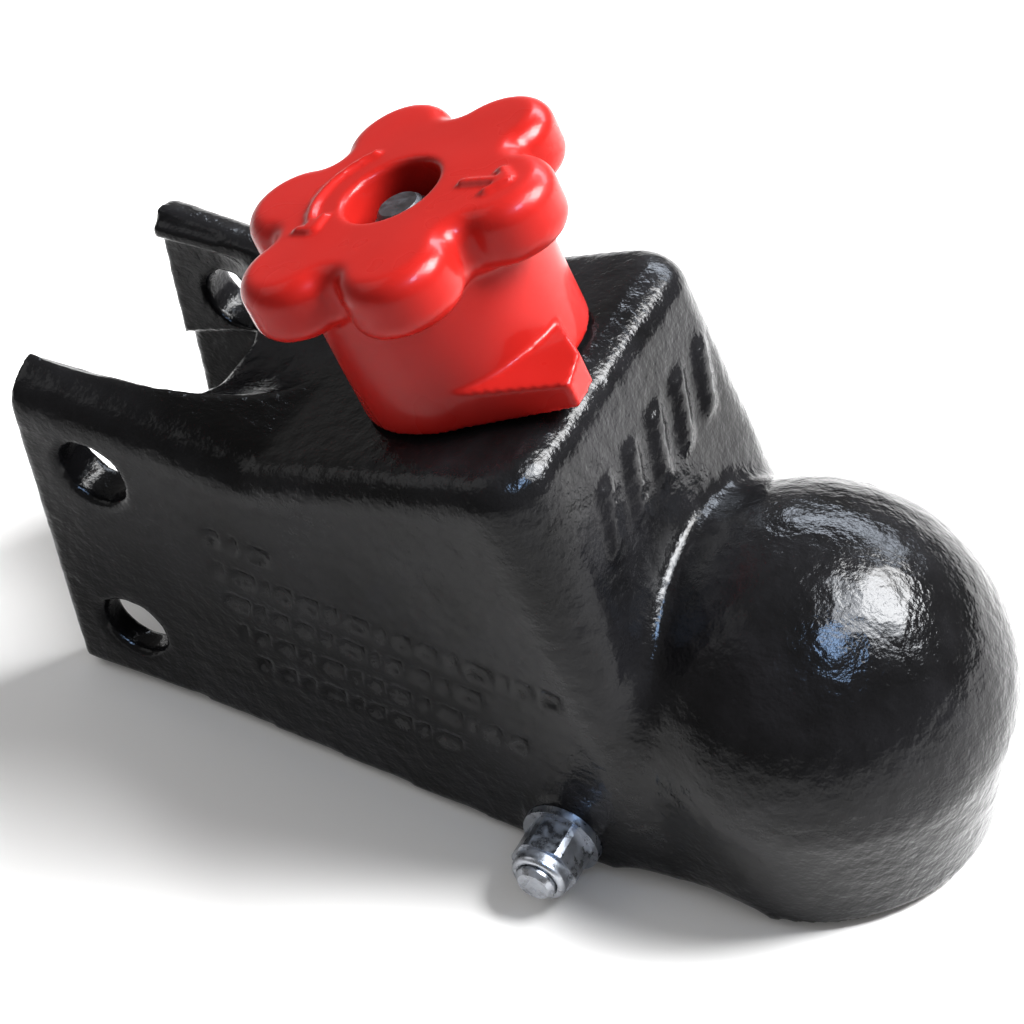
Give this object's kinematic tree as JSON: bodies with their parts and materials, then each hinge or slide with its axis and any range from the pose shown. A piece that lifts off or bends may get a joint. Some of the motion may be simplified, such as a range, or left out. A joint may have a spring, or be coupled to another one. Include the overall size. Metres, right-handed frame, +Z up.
{
  "type": "trailer ball coupler",
  "caption": "Channel-mount trailer ball coupler: cast body with a ball socket, bolted ears and a half-turn hand knob that works an inner ball clamp.",
  "frame": {"origin": "centre of the hitch ball in the socket", "axes": "+X towards the ball end, +Y to the left, +Z up, away from the socket's mouth"},
  "size_m": [0.2197, 0.1111, 0.1548],
  "materials": {
    "black_iron": "gloss black enamel over rough cast iron",
    "red_knob": "gloss moulded red",
    "plated_steel": "bright zinc plate",
    "black_steel": "black oxide",
    "clamp_iron": "greased ductile iron",
    "bronze": "sintered bronze",
    "rubber": "matt",
    "nylon": "natural nylon"
  },
  "bodies": {
    "coupler": {"coupler_body": "black_iron", "deck_bushing": "bronze", "knob_seal": "rubber", "stop_pin": "plated_steel", "pivot_bolt": "plated_steel", "pivot_head_washer": "plated_steel", "pivot_nut_washer": "plated_steel", "pivot_nut": "plated_steel", "pivot_nut_insert": "nylon", "pivot_spacers": "plated_steel"},
    "knob": {"hand_knob": "red_knob", "spindle": "black_steel", "knob_key": "plated_steel", "spindle_nut": "black_steel", "spindle_nut_insert": "nylon", "knob_washer": "black_steel", "thrust_washer": "plated_steel", "snail_cam": "plated_steel", "cam_pin": "plated_steel"},
    "clamp": {"ball_clamp": "clamp_iron", "clamp_bushing": "bronze", "clamp_spring": "plated_steel"}
  },
  "joints": [
    {"name": "knob_turn", "type": "hinge", "parent": "coupler", "child": "knob", "pos_m": [-0.07481, 0, 0.06971], "axis": [-0.342, 0, 0.9397], "range_deg": [0, 180]},
    {"name": "clamp_swing", "type": "hinge", "parent": "coupler", "child": "clamp", "pos_m": [-0.0403, 0, -0.0228], "axis": [0, -1, 0], "range_deg": [0, 17.3]}
  ],
  "couplings": [
    {"joint": "clamp_swing", "follows": "knob_turn", "ratio": 0.096111}
  ]
}
